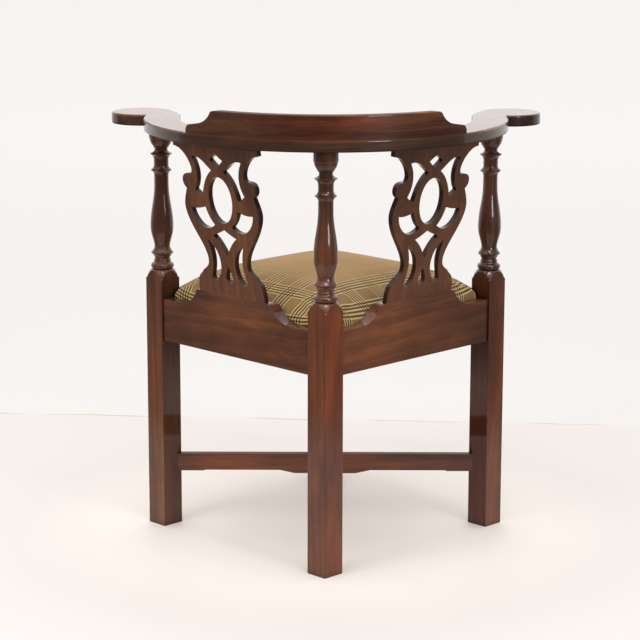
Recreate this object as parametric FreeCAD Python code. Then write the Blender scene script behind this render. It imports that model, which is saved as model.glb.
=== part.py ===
import FreeCAD, Part
import math
import os

# Corner chair in mahogany with a lift-out upholstered seat.
# Millimetres. +Z is up, the front corner faces -Y, +X is the sitter's left.
# The origin is on the floor under the middle of the seat square.
# The seat square is drawn with its sides along X and Y and then turned by 45 degrees,
# so that one leg stands at the front, one at each side and one at the back.

V = FreeCAD.Vector
Z_AXIS = V(0, 0, 1)
CORNER_TURN = 45.0

# Legs and the square they stand in
seat_square = 475.2          # outside of the legs, side to side of the square
leg_size = 44.5
leg_edge = 1.2               # eased long edges of a leg
shoulder_height = 476.0      # where a square leg starts to turn round

# Seat rails
rail_bottom = 362.0
rail_top = 440.5
rail_thickness = 34.0
rail_recess = 3.6            # rail face behind the leg face
rebate_width = 10.0          # ledge that carries the lift-out seat
rebate_depth = 16.0
rail_tenon_length = 16.0
rail_tenon_thickness = 10.0
rail_tenon_inset = 10.0      # tenon below the top and above the bottom of the rail
joint_gap = 0.1              # glue line on the cheeks of a tenon

# Raised shoe of the back rails, which leans out with the splat
shoe_top = 474.5
shoe_margin = 4.0            # flat top of the shoe past the foot of the splat
shoe_sweep = 60.0            # length of the curve from the shoe down to the rail
shoe_bend = 449.0            # height where the face starts to lean
shoe_flat = 10.0             # flat top inside the face
shoe_round_drop = 11.5
splat_lean = 8.4             # degrees

# Splats
splat_thickness = 9.5
splat_width = 194.0          # widest part of the board
splat_foot_width = 172.0
tongue_thickness = 6.0
shoe_tongue_depth = 9.0
arm_tongue_depth = 7.0
tongue_inset = 6.0           # tongue shorter than the splat's end

# Arms
arm_underside = 757.0
arm_thickness = 21.0
arm_outer_radius = 335.0
arm_width = 65.0
arm_round = 3.0
lap_half_length = 60.0       # half lap of the two arms under the crest
paddle_radius = 57.0
paddle_beyond = 10.0         # middle of the round end, sideways past the outer radius
paddle_forward = 80.0        # and in front of the centre
paddle_neck_angle = 200.0    # where the inner edge runs into the round end
inner_edge_end_angle = -4.0
inner_edge_pull = 28.0       # how far the inner edge keeps its direction at both ends
notch_round = 2.0            # where the outer edge meets the round end

# Crest rail on top of the arms
crest_height = 42.5
crest_end_angle = 46.9
crest_thickness_top = 20.0
crest_thickness_foot = 52.0
crest_round = 2.0

# Turned columns
ring_radius = 21.4           # lowest ring
thin_ring_radius = 20.6
belly_radius = 21.4
waist_radius = 13.4
upper_ring_radius = 19.2
collar_radius = 20.2
cup_radius = 22.0
post_tenon_radius = 12.0
side_tenon_height = 15.0
pattern_square = 1.0         # squared paper under the outlines of the turning, crest and crown

# Crossed stretchers
stretcher_top = 136.5
stretcher_bottom = 104.6
stretcher_centre_bottom = 98.4
stretcher_width = 14.5
centre_half_length = 58.0    # thicker middle under the crossing
centre_sweep = 28.0
foot_half_length = 228.0     # the last stretch to each leg is a little deeper
foot_drop = 1.4
stretcher_tenon_width = 8.0
stretcher_tenon_length = 16.0
stretcher_tenon_inset = 6.0

# Corner blocks and their screws
block_rise = 6.0             # block above the underside of the rails
block_height = 40.0
block_side = 62.0
block_leg_gap = 0.5
screw_shank_radius = 2.0
screw_head_radius = 4.2
screw_head_depth = 2.6
screw_slot_width = 1.0
screw_slot_depth = 1.1
block_screw_length = 30.0
block_screw_offset = 40.0    # from the corner of the rails, along each rail
crest_screw_length = 44.0
crest_screw_sink = 1.0
crest_screw_angles = (18.0, 35.0)
crest_screw_inset = 18.0     # from the outer edge of the arm

# Lift-out seat
seat_clearance = 1.5         # cover to the rails round it
post_clearance = 2.0         # cover to the legs at its corners
seat_lift_gap = 0.3          # cloth over the ledge
cover_thickness = 1.2
frame_width = 46.0
frame_thickness = 20.0
cover_turn_under = 19.0
cover_corner = 12.0          # corner radius of the seat frame and its cover
crown_height = 69.0          # crown above the seat frame
web_width = 50.0
web_thickness = 1.2
web_pitch = 92.0
web_count = 3
web_ramp = 9.0
web_end_inset = 8.0
hessian_thickness = 1.0
hessian_inset = 6.0
layer_gap = 0.2
tack_head_radius = 3.0
tack_head_height = 0.8
tack_shank_radius = 0.8
tack_length = 9.0
web_tack_inset = 8.0         # from the end of a strap
cover_tacks_per_side = 8
cover_tack_inset = 12.0      # from the outside of the seat frame
cover_tack_span = 150.0

# Worked out from the sizes above
square_half = seat_square / 2
leg_centre = square_half - leg_size / 2
leg_inner = square_half - leg_size
rail_face = square_half - rail_recess
rail_inner = rail_face - rail_thickness
lip_inner = rail_inner + rebate_width
ledge_height = rail_top - rebate_depth
post_radius = leg_centre * math.sqrt(2)
stretcher_reach = post_radius - leg_size / math.sqrt(2)
arm_inner_radius = arm_outer_radius - arm_width
paddle_out = arm_outer_radius + paddle_beyond
arm_top = arm_underside + arm_thickness
crest_top = arm_top + crest_height
block_bottom = rail_bottom + block_rise
block_top = block_bottom + block_height
lean = math.radians(splat_lean)
shoe_face = rail_face + (shoe_top - shoe_bend) * math.tan(lean)
shoe_half_length = splat_foot_width / 2 + shoe_margin
splat_height = (arm_underside - shoe_top) / math.cos(lean)
cover_half = lip_inner - seat_clearance
frame_half = cover_half - cover_thickness
cover_bottom = ledge_height + seat_lift_gap
frame_bottom = cover_bottom + cover_thickness
frame_top = frame_bottom + frame_thickness

os.makedirs("parts", exist_ok=True)


def box(x0, x1, y0, y1, z0, z1):
    return Part.makeBox(x1 - x0, y1 - y0, z1 - z0, V(x0, y0, z0))


def turned(shape, degrees):
    copy = shape.copy()
    copy.rotate(V(0, 0, 0), Z_AXIS, degrees)
    return copy


def mirrored_x(shape):
    return shape.mirror(V(0, 0, 0), V(1, 0, 0))


def clean(shape):
    """One solid without the seams that a union leaves."""
    return shape.removeSplitter()


def edges(segments, place):
    """Edges of an outline: each segment is a kind and its points, and place puts them in space."""
    made = []
    for kind, points in segments:
        spots = [place(*point) for point in points]
        if kind == "line":
            made += [Part.makeLine(a, b) for a, b in zip(spots, spots[1:])]
        elif kind == "arc":
            made.append(Part.Arc(*spots).toShape())
        elif kind == "bezier":
            curve = Part.BezierCurve()
            curve.setPoles(spots)
            made.append(curve.toShape())
        else:
            curve = Part.BSplineCurve()
            curve.interpolate(spots)
            made.append(curve.toShape())
    return made


def other_side(segments):
    """The same outline on the other side of the middle line, run backwards."""
    return [(kind, [(-u, h) for u, h in reversed(points)]) for kind, points in reversed(segments)]


def face(segments, place):
    return Part.Face(Part.Wire(edges(segments, place)))


def on_xy(x, y):
    return V(x, y, 0)


def on_xz(x, z):
    return V(x, 0, z)


def on_yz(y, z):
    return V(0, y, z)


def save(name, shape):
    shape.exportStep("parts/" + name + ".step")
    box_ = shape.BoundBox
    print(name, len(shape.Solids), "solid(s)", round(shape.Volume / 1000, 2), "cm3", shape.isValid(),
          [round(v, 1) for v in (box_.XMin, box_.XMax, box_.YMin, box_.YMax, box_.ZMin, box_.ZMax)])


# Legs: a square blank, and for three of them a column turned from the same piece of wood

def leg_blank(height):
    half = leg_size / 2
    blank = box(-half, half, -half, half, 0, height)
    upright = [e for e in blank.Edges if abs(e.BoundBox.ZLength - height) < joint_gap]
    return blank.makeFillet(leg_edge, upright)


# The shoulder: how far it has drawn in from the corner of the leg, and how high, in pattern squares
SHOULDER_BREAK = [(0, 0), (2.6, 3.0), (2.9, 5.0)]
SHOULDER_CURVE = [(2.9, 5.0), (4.9, 9.7), (7.8, 14.5), (9.6, 16.7), (12.4, 18.2)]
SHOULDER_TOP = 18.2

# The turning above the shoulder and below the arm: radius and height in pattern squares
FOOT_NECK = 18.6
RING_LIP = 19.4
HOLLOW_NECK = 14.3
RIM_FOOT = 15.9
RIM_HEAD = 16.2
BELLY_FOOT = 14.5
HEAD_NECK = 12.2
HEAD_BODY = 13.6


def up(height):
    """A height on the foot of the turning, in pattern squares above the shoulder."""
    return shoulder_height + (SHOULDER_TOP + height) * pattern_square


def down(height):
    """A height on the head of the turning, in pattern squares below the arm."""
    return arm_underside - height * pattern_square


def out(radius):
    return radius * pattern_square


def column_outline():
    """Half outline of the turned column, from its shoulder to the underside of the arm."""
    foot = [("line", [(0, up(0)), (out(FOOT_NECK), up(0))]),
            ("arc", [(out(FOOT_NECK), up(0)), (ring_radius, up(5.2)), (out(RING_LIP), up(10.0))]),
            ("line", [(out(RING_LIP), up(10.0)), (out(18.4), up(10.4))]),
            ("arc", [(out(18.4), up(10.4)), (out(16.2), up(12.2)), (out(15.2), up(15.0))]),
            ("arc", [(out(15.2), up(15.0)), (out(16.2), up(16.0)), (out(15.2), up(17.0))]),
            ("arc", [(out(15.2), up(17.0)), (out(HOLLOW_NECK), up(20.0)), (out(RIM_FOOT), up(23.0))]),
            ("arc", [(out(RIM_FOOT), up(23.0)), (out(17.8), up(26.6)), (thin_ring_radius, up(29.2))]),
            ("line", [(thin_ring_radius, up(29.2)), (thin_ring_radius, up(30.6))]),
            ("arc", [(thin_ring_radius, up(30.6)), (out(18.4), up(33.2)), (out(RIM_HEAD), up(36.6))]),
            ("arc", [(out(RIM_HEAD), up(36.6)), (out(15.0), up(39.6)), (out(BELLY_FOOT), up(44.0))])]
    middle = [("curve", [(out(BELLY_FOOT), up(44.0)), (out(17.4), up(56.7)), (out(20.5), up(68.8)),
                         (belly_radius, up(82.0)), (out(17.9), down(146.0)), (waist_radius + out(0.9), down(122.0)),
                         (waist_radius, down(103.0)), (waist_radius, down(86.0))])]
    head = [("arc", [(waist_radius, down(86.0)), (out(15.4), down(81.8)), (upper_ring_radius, down(78.7))]),
            ("line", [(upper_ring_radius, down(78.7)), (upper_ring_radius, down(77.3))]),
            ("arc", [(upper_ring_radius, down(77.3)), (out(15.6), down(74.2)), (out(HEAD_BODY), down(69.6))]),
            ("line", [(out(HEAD_BODY), down(69.6)), (out(HEAD_BODY), down(60.0))]),
            ("arc", [(out(HEAD_BODY), down(60.0)), (out(15.6), down(52.4)), (collar_radius, down(48.4))]),
            ("line", [(collar_radius, down(48.4)), (collar_radius, down(47.0))]),
            ("arc", [(collar_radius, down(47.0)), (out(15.2), down(44.6)), (out(HEAD_NECK), down(41.6))]),
            ("line", [(out(HEAD_NECK), down(41.6)), (out(HEAD_NECK), down(38.2))]),
            ("arc", [(out(HEAD_NECK), down(38.2)), (out(12.8), down(36.4)), (out(14.2), down(35.6))]),
            ("line", [(out(14.2), down(35.6)), (out(14.2), down(33.6)), (out(15.2), down(33.2))]),
            ("arc", [(out(15.2), down(33.2)), (out(19.2), down(26.6)), (out(21.2), down(19.0))]),
            ("line", [(out(21.2), down(19.0)), (cup_radius, down(17.6)), (cup_radius, arm_underside),
                      (0, arm_underside), (0, up(0))])]
    return foot + middle + head


def post(tenon_height):
    """A leg and its column in one piece, standing on the origin, with a round tenon on top."""
    tip = leg_size / math.sqrt(2) - leg_edge / 2

    def shoulder(points):
        return [(tip - out(drawn_in), shoulder_height + rise * pattern_square) for drawn_in, rise in points]

    wide = [(0, 0), (leg_size, 0), (leg_size, shoulder_height)]
    envelope = [("line", wide + shoulder(SHOULDER_BREAK)),
                ("curve", shoulder(SHOULDER_CURVE)),
                ("line", shoulder(SHOULDER_CURVE[-1:]) + [(0, up(0)), (0, 0)])]
    lathe = face(envelope, on_xz).revolve(V(0, 0, 0), Z_AXIS, 360)
    square = leg_blank(up(0)).common(lathe)
    column = face(column_outline(), on_xz).revolve(V(0, 0, 0), Z_AXIS, 360)
    tenon = Part.makeCylinder(post_tenon_radius, tenon_height, V(0, 0, arm_underside))
    return clean(square.fuse([column, tenon]))


def post_socket(tenon_height):
    return Part.makeCylinder(post_tenon_radius + joint_gap, tenon_height + joint_gap, V(0, 0, arm_underside))


def front_leg():
    """The short leg at the front, with the ledge for the seat cut into its inner corner."""
    edge = lip_inner - leg_centre
    low = -leg_size
    ledge = turned(box(low, edge, low, edge, ledge_height, 2 * rail_top), 180)
    return leg_blank(rail_top).cut(ledge)


# Seat rails, drawn as the one on the +X side of the square

def rail_section(shoe):
    """Outline of a rail across its length, as X and Z."""
    outer = rail_face
    inner = [("line", [(lip_inner, ledge_height), (rail_inner, ledge_height), (rail_inner, rail_bottom),
                       (outer, rail_bottom)])]
    if not shoe:
        return inner + [("line", [(outer, rail_bottom), (outer, rail_top), (lip_inner, rail_top),
                                  (lip_inner, ledge_height)])]
    flat_end = outer - shoe_flat
    low_round = shoe_top - shoe_round_drop
    middle = (flat_end - (flat_end - lip_inner) * math.sin(math.pi / 4),
              low_round + shoe_round_drop * math.cos(math.pi / 4))
    return inner + [("line", [(outer, rail_bottom), (outer, shoe_bend), (shoe_face, shoe_top),
                              (flat_end, shoe_top)]),
                    ("arc", [(flat_end, shoe_top), middle, (lip_inner, low_round)]),
                    ("line", [(lip_inner, low_round), (lip_inner, ledge_height)])]


# End of the shoe on squared paper: squares along the rail from the flat top, and up from the low rail
SHOE_SQUARES_ALONG = 60
SHOE_SQUARES_UP = 34

SHOE_END = [(60, 0), (53, 0.5), (38, 3.3), (27.5, 8.2), (18.5, 15), (12.5, 21.5), (8.5, 28), (5, 32.4), (0, 34)]


def shoe_end_points():
    """The curve from the rail's low top up to the flat top of the shoe, as Y and Z."""
    rise = shoe_top - rail_top
    return [(shoe_half_length + along * shoe_sweep / SHOE_SQUARES_ALONG, rail_top + h * rise / SHOE_SQUARES_UP)
            for along, h in SHOE_END]


def rail_elevation(shoe):
    """Face of a rail as seen from outside, in the YZ plane."""
    base = [("line", [(-leg_inner, rail_bottom), (leg_inner, rail_bottom)])]
    if shoe:
        half = [("line", [(leg_inner, rail_bottom), (leg_inner, rail_top),
                          (shoe_half_length + shoe_sweep, rail_top)]),
                ("curve", shoe_end_points()),
                ("line", [(shoe_half_length, shoe_top), (0, shoe_top)])]
    else:
        half = [("line", [(leg_inner, rail_bottom), (leg_inner, rail_top), (0, rail_top)])]
    return face(base + half + other_side(half), on_yz)


def rail_tenons(gap):
    """The two end tenons of a rail, grown by a gap to make their sockets."""
    middle = (rail_face + rail_inner) / 2
    half = rail_tenon_thickness / 2 + gap
    low = rail_bottom + rail_tenon_inset - gap
    high = ledge_height - rail_tenon_inset / 2 + gap
    reach = leg_inner + rail_tenon_length + gap
    return [box(middle - half, middle + half, leg_inner - gap, reach, low, high),
            box(middle - half, middle + half, -reach, -leg_inner + gap, low, high)]


def seat_rail(shoe):
    """A seat rail on the +X side of the square."""
    section = face(rail_section(shoe), on_xz)
    section.translate(V(0, -leg_inner, 0))
    length = section.extrude(V(0, 2 * leg_inner, 0))
    reach = shoe_face + rail_thickness
    elevation = rail_elevation(shoe).extrude(V(reach, 0, 0))
    return clean(length.common(elevation).fuse(rail_tenons(0)))


# Splats, drawn flat on squared paper: squares across the board from its middle, and up from its foot

SQUARES_ACROSS = 194
SQUARES_UP = 286
FOOT_HALF_WIDTH = SQUARES_ACROSS * splat_foot_width / splat_width / 2
HEAD_HALF_WIDTH = 110
BELOW_FOOT = -20
ABOVE_HEAD = 310

SPLAT_EDGE = [
    ("line", [(FOOT_HALF_WIDTH, BELOW_FOOT), (FOOT_HALF_WIDTH, 2)]),
    ("curve", [(FOOT_HALF_WIDTH, 2), (FOOT_HALF_WIDTH - 1.2, 16), (80, 29.5), (73, 36), (67.5, 42)]),
    ("curve", [(67.5, 42), (58, 48.5), (52.5, 55), (51, 64), (54.5, 78), (67, 99.5), (84, 124.5),
               (94.5, 146.5), (97, 162), (93.5, 177), (87, 193)]),
    ("curve", [(87, 193), (93.5, 199.5), (95.5, 208), (91.5, 217), (84, 220.5), (71, 221)]),
    ("curve", [(71, 221), (68.3, 229), (71.5, 241), (80, 254), (93, 264.8), (HEAD_HALF_WIDTH, 270)]),
    ("line", [(HEAD_HALF_WIDTH, 270), (HEAD_HALF_WIDTH, ABOVE_HEAD), (0, ABOVE_HEAD)])]

OVAL_MIDDLE = 179.0
OVAL_HALF_WIDTH = 30.0
OVAL_HALF_HEIGHT = 42.5
OVAL_STEPS = 10
OVAL_HALF = [("curve", [(OVAL_HALF_WIDTH * math.sin(math.pi * step / OVAL_STEPS),
                         OVAL_MIDDLE - OVAL_HALF_HEIGHT * math.cos(math.pi * step / OVAL_STEPS))
                        for step in range(OVAL_STEPS + 1)])]

UPPER_LEAF = [
    ("curve", [(64.5, 254), (53, 254.6), (43, 251.6), (33, 245.6), (24, 238.8), (16, 232.6)]),
    ("curve", [(16, 232.6), (26, 224.1), (35, 212), (41.5, 198), (46.5, 182)]),
    ("curve", [(46.5, 182), (55, 186), (64.5, 193)]),
    ("curve", [(64.5, 193), (57.5, 206), (54.6, 220), (57, 238), (64.5, 254)])]

MIDDLE_LEAF = [
    ("curve", [(42, 163), (53, 160), (66, 158), (80, 159)]),
    ("curve", [(80, 159), (76, 144), (67, 132.5), (54, 124.5), (41, 123.4), (31, 126), (22.5, 131.6)]),
    ("curve", [(22.5, 131.6), (31, 140.5), (37.5, 151), (42, 163)])]

SIDE_SLOT = [
    ("curve", [(47.5, 102), (37, 94.5), (26.5, 83.5), (19.8, 67), (19.5, 50), (24, 37.5), (31.5, 27.5)]),
    ("arc", [(31.5, 27.5), (40.5, 24.6), (46.2, 31)]),
    ("curve", [(46.2, 31), (42.2, 45), (39.4, 58), (40, 76), (47.5, 102)])]

LOZENGE_HALF = [
    ("curve", [(0, 239.8), (8, 245.5), (16.5, 253)]),
    ("curve", [(16.5, 253), (9, 257.5), (0, 263.6)])]

DIAMOND_HALF = [
    ("curve", [(0, 73.5), (8, 87.5), (18, 100.5), (30, 111)]),
    ("curve", [(30, 111), (15, 117), (0, 124.5)])]

DROP_HALF = [
    ("arc", [(0, 24), (6.6, 27), (9, 34)]),
    ("curve", [(9, 34), (6.5, 43), (0, 55)])]


def on_board(u, h):
    return V(u * splat_width / SQUARES_ACROSS, h * splat_height / SQUARES_UP, 0)


def splat_board():
    """The pierced board, lying flat with its outer face up."""
    holes = []
    for opening in (UPPER_LEAF, MIDDLE_LEAF, SIDE_SLOT):
        holes.append(face(opening, on_board))
        holes.append(face(other_side(opening), on_board))
    for half in (OVAL_HALF, LOZENGE_HALF, DIAMOND_HALF, DROP_HALF):
        holes.append(face(half + other_side(half), on_board))
    foot = [("line", [(-FOOT_HALF_WIDTH, BELOW_FOOT), (FOOT_HALF_WIDTH, BELOW_FOOT)])]
    outline = face(foot + SPLAT_EDGE + other_side(SPLAT_EDGE), on_board)
    return outline.cut(holes).extrude(V(0, 0, -splat_thickness))


def stand_up(board):
    """Puts a flat board into the leaning plane of a splat on the +X side of the square."""
    copy = board.copy()
    copy.Placement = FreeCAD.Placement(FreeCAD.Matrix(
        0, math.sin(lean), math.cos(lean), shoe_face,
        1, 0, 0, 0,
        0, math.cos(lean), -math.sin(lean), shoe_top,
        0, 0, 0, 1))
    return copy


def slab(low, high):
    return box(0, seat_square, -seat_square, seat_square, low, high)


def splat_tongues(gap):
    """Tongues into the shoe and into the arm, grown by a gap to make their sockets."""
    middle = -splat_thickness / 2
    half = tongue_thickness / 2 + gap
    tongues = []
    for half_width, low, high in (
            (on_board(FOOT_HALF_WIDTH, 0).x, shoe_top - shoe_tongue_depth - gap, shoe_top),
            (on_board(HEAD_HALF_WIDTH, 0).x, arm_underside, arm_underside + arm_tongue_depth + gap)):
        wide = half_width - tongue_inset + gap
        board = box(-wide, wide, -splat_height, 2 * splat_height, middle - half, middle + half)
        tongues.append(stand_up(board).common(slab(low, high)))
    return tongues


def splat():
    board = stand_up(splat_board()).common(slab(shoe_top, arm_underside))
    return clean(board.fuse(splat_tongues(0)))


# Arms, drawn as the one on the +X side

def polar(radius, degrees):
    angle = math.radians(degrees)
    return (radius * math.cos(angle), radius * math.sin(angle))


def arm_outline():
    """Plan of an arm, run past the middle of the back where the lap is cut."""
    start = 90 + math.degrees(math.asin(2 * lap_half_length / arm_outer_radius))
    middle = (paddle_out, -paddle_forward)
    reach = math.hypot(*middle)
    along = (reach ** 2 + arm_outer_radius ** 2 - paddle_radius ** 2) / (2 * reach)
    aside = math.sqrt(arm_outer_radius ** 2 - along ** 2)
    notch = ((along * middle[0] - aside * middle[1]) / reach, (along * middle[1] + aside * middle[0]) / reach)
    notch_angle = math.degrees(math.atan2(notch[1], notch[0]))

    def on_paddle(degrees):
        x, y = polar(paddle_radius, degrees)
        return (middle[0] + x, middle[1] + y)

    leaving = math.degrees(math.atan2(notch[1] - middle[1], notch[0] - middle[0]))
    neck = on_paddle(paddle_neck_angle)
    inner_end = polar(arm_inner_radius, inner_edge_end_angle)
    along_paddle = polar(inner_edge_pull, paddle_neck_angle - 90)
    along_inside = polar(inner_edge_pull, inner_edge_end_angle + 90)
    inner_edge = [neck, (neck[0] + along_paddle[0], neck[1] + along_paddle[1]),
                  (inner_end[0] - along_inside[0], inner_end[1] - along_inside[1]), inner_end]
    return [("arc", [polar(arm_outer_radius, start), polar(arm_outer_radius, (start + notch_angle) / 2), notch]),
            ("arc", [notch, on_paddle((leaving + paddle_neck_angle - 360) / 2), neck]),
            ("bezier", inner_edge),
            ("arc", [inner_end, polar(arm_inner_radius, (start + inner_edge_end_angle) / 2),
                     polar(arm_inner_radius, start)]),
            ("line", [polar(arm_inner_radius, start), polar(arm_outer_radius, start)])]


def arm_blank():
    """The whole arm on the +X side with its long edges rounded, before the lap is cut."""
    plan = face(arm_outline(), on_xy)
    plan.translate(V(0, 0, arm_underside))
    blank = plan.extrude(V(0, 0, arm_thickness))
    upright = [e for e in blank.Edges if e.BoundBox.ZLength > arm_thickness / 2]
    notch = [e for e in upright if abs(e.BoundBox.Center.Length - math.hypot(arm_outer_radius, arm_underside
             + arm_thickness / 2)) < joint_gap and e.BoundBox.Center.x > arm_inner_radius]
    blank = blank.makeFillet(notch_round, notch)
    level = [e for e in blank.Edges if e.BoundBox.ZLength < joint_gap and e.BoundBox.XMax > lap_half_length]
    return blank.makeFillet(arm_round, level).fuse(crest_bed())


def crest_bed():
    """The square outer edge that the crest stands flush with."""
    section = [("line", [(arm_outer_radius, arm_top - crest_round), (arm_outer_radius, arm_top),
                         (arm_outer_radius - crest_thickness_foot, arm_top),
                         (arm_outer_radius - crest_thickness_foot, arm_top - crest_round),
                         (arm_outer_radius, arm_top - crest_round)])]
    bed = face(section, on_xz).revolve(V(0, 0, 0), Z_AXIS, 2 * crest_end_angle)
    return turned(bed, 90 - crest_end_angle)


def lap_box(low, high):
    return box(-lap_half_length, lap_half_length, arm_inner_radius / 2, 2 * arm_outer_radius, low, high)


def arm_with_lap(low, high):
    """The arm on the +X side, with its lap cut away between two heights."""
    beyond = box(-2 * arm_outer_radius, -lap_half_length, 0, 2 * arm_outer_radius,
                 arm_underside - arm_thickness, arm_top + arm_thickness)
    return arm_blank().cut([beyond, lap_box(low, high)])


# Crest rail, standing on both arms

def crest_section():
    """Section of the crest as radius and height."""
    outer = arm_outer_radius
    inner_top = outer - crest_thickness_top
    inner_foot = outer - crest_thickness_foot
    foot_lip = arm_top + crest_round
    hollow = ((inner_top + inner_foot) / 2 + crest_round, (crest_top + foot_lip) / 2 - crest_round)
    return [("line", [(outer, arm_top), (outer, crest_top - crest_round)]),
            ("arc", [(outer, crest_top - crest_round),
                     (outer - crest_round * (1 - math.sqrt(0.5)), crest_top - crest_round * (1 - math.sqrt(0.5))),
                     (outer - crest_round, crest_top)]),
            ("line", [(outer - crest_round, crest_top), (inner_top, crest_top)]),
            ("arc", [(inner_top, crest_top), hollow, (inner_foot, foot_lip)]),
            ("line", [(inner_foot, foot_lip), (inner_foot, arm_top), (outer, arm_top)])]


# Stepped end of the crest in pattern squares: along the rail from its end, and up from the arm
CREST_SQUARES_UP = 42.5
CREST_BELOW = -10
CREST_ABOVE = 60
CREST_BEYOND = -60

CREST_END = [
    ("line", [(0, CREST_BELOW), (0, 5)]),
    ("arc", [(0, 5), (3.6, 12.4), (12, 15.5)]),
    ("line", [(12, 15.5), (32, 19)]),
    ("arc", [(32, 19), (49, 26.2), (58.5, 37.5)]),
    ("arc", [(58.5, 37.5), (61, 41), (66, CREST_SQUARES_UP)]),
    ("line", [(66, CREST_SQUARES_UP), (66, CREST_ABOVE), (CREST_BEYOND, CREST_ABOVE),
              (CREST_BEYOND, CREST_BELOW), (0, CREST_BELOW)])]


def crest():
    sweep = 2 * crest_end_angle
    past = math.degrees(crest_round / arm_outer_radius)
    rail = face(crest_section(), on_xz).revolve(V(0, 0, 0), Z_AXIS, sweep + 2 * past)
    rail = turned(rail, 90 - crest_end_angle - past)

    def at_end(t, height):
        return V(0, t * pattern_square, arm_top + height * crest_height / CREST_SQUARES_UP)

    end = face(CREST_END, at_end).extrude(V(2 * arm_outer_radius, 0, 0))
    end = turned(end, 90 - crest_end_angle)
    return clean(rail.cut([end, mirrored_x(end)]))


# Screws

def screw_blank(length):
    """A countersunk screw with its head flat on the XY plane and its point up."""
    straight = length - 2 * screw_shank_radius
    head = Part.makeCone(screw_head_radius, screw_shank_radius, screw_head_depth)
    shank = Part.makeCylinder(screw_shank_radius, straight)
    point = Part.makeCone(screw_shank_radius, screw_shank_radius / 4, length - straight, V(0, 0, straight))
    return clean(head.fuse([shank, point]))


def screw(length):
    half = screw_slot_width / 2
    slot = box(-screw_head_radius, screw_head_radius, -half, half, -screw_slot_depth, screw_slot_depth)
    return screw_blank(length).cut(slot)


def crest_screw_places():
    places = []
    for side in (-1, 1):
        for angle in crest_screw_angles:
            x, y = polar(arm_outer_radius - crest_screw_inset, 90 + side * angle)
            places.append(FreeCAD.Placement(V(x, y, arm_underside + crest_screw_sink), FreeCAD.Rotation()))
    return places


def block_screw_places():
    """The two screws of the block in the (+X, +Y) corner of the square."""
    block_middle = (block_bottom + block_top) / 2
    across = rail_inner - block_screw_offset
    head_at = 2 * rail_inner - block_side - across + screw_head_radius
    return [FreeCAD.Placement(V(head_at, across, block_middle), FreeCAD.Rotation(V(0, 1, 0), 90)),
            FreeCAD.Placement(V(across, head_at, block_middle), FreeCAD.Rotation(V(1, 0, 0), -90))]


def put(shape, placement):
    copy = shape.copy()
    copy.Placement = placement
    return copy


# Corner blocks, drawn as the one in the (+X, +Y) corner of the square

def corner_block():
    far = rail_inner - block_side
    clear = leg_inner - block_leg_gap
    plan = [("line", [(rail_inner, far), (rail_inner, clear), (clear, clear), (clear, rail_inner),
                      (far, rail_inner), (rail_inner, far)])]
    block = face(plan, on_xy)
    block.translate(V(0, 0, block_bottom))
    block = block.extrude(V(0, 0, block_top - block_bottom))
    bores = []
    for place in block_screw_places():
        bore = Part.makeCylinder(screw_head_radius + joint_gap, block_side, V(0, 0, -block_side))
        bores += [put(bore, place), put(screw_blank(block_screw_length), place)]
    return block.cut(bores)


# Crossed stretchers, drawn as the one along X

def stretcher_elevation():
    """Front face of a stretcher in the XZ plane, past the corners of the legs."""
    end = stretcher_reach + stretcher_width
    sweep_end = centre_half_length + centre_sweep
    half_way = (centre_half_length + centre_sweep / 2, (stretcher_centre_bottom + stretcher_bottom) / 2)
    half = [("line", [(0, stretcher_centre_bottom), (centre_half_length, stretcher_centre_bottom)]),
            ("curve", [(centre_half_length, stretcher_centre_bottom), half_way, (sweep_end, stretcher_bottom)]),
            ("line", [(sweep_end, stretcher_bottom), (foot_half_length, stretcher_bottom),
                      (foot_half_length + 2 * foot_drop, stretcher_bottom - foot_drop),
                      (end, stretcher_bottom - foot_drop), (end, stretcher_top), (0, stretcher_top)])]
    return face(half + other_side(half), on_xz)


def moved(shape, x, y):
    copy = shape.copy()
    copy.translate(V(x, y, 0))
    return copy


def stretcher_tenons(gap):
    half = stretcher_tenon_width / 2 + gap
    low = stretcher_bottom + stretcher_tenon_inset - gap
    high = stretcher_top - stretcher_tenon_inset + gap
    reach = stretcher_reach + stretcher_tenon_length + gap
    return [box(-reach, -stretcher_reach, -half, half, low, high),
            box(stretcher_reach, reach, -half, half, low, high)]


def stretcher(cut_low, cut_high):
    """A stretcher along X, halved at the crossing between two heights."""
    half = stretcher_width / 2
    elevation = stretcher_elevation()
    elevation.translate(V(0, -half, 0))
    bar = elevation.extrude(V(0, stretcher_width, 0))
    notch = half + joint_gap
    leg = turned(leg_blank(shoulder_height), CORNER_TURN)
    bar = bar.cut([moved(leg, post_radius, 0), moved(leg, -post_radius, 0),
                   box(-notch, notch, -stretcher_width, stretcher_width, cut_low, cut_high)])
    return clean(bar.fuse(stretcher_tenons(0)))


# Lift-out seat, drawn with the sides of the square along X and Y

def corner_cuts(clearance):
    """Squares that clear the three posts which rise through the corners of the seat."""
    near = leg_inner - clearance
    cut = box(near, seat_square, near, seat_square, rail_bottom, crest_top)
    return [turned(cut, quarter * 90) for quarter in (0, 1, 3)]


def rounded_square(half, radius, z):
    flat = half - radius
    bend = flat + radius * math.sqrt(0.5)
    corners = []
    for quarter in range(4):
        start = V(half, flat, z)
        arc = Part.Arc(start, V(bend, bend, z), V(flat, half, z)).toShape()
        line = Part.makeLine(V(half, -flat, z), start)
        corners += [turned(line, quarter * 90), turned(arc, quarter * 90)]
    return Part.Wire(corners)


def rounded_block(half, low, high):
    return Part.Face(rounded_square(half, cover_corner, low)).extrude(V(0, 0, high - low))


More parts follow.
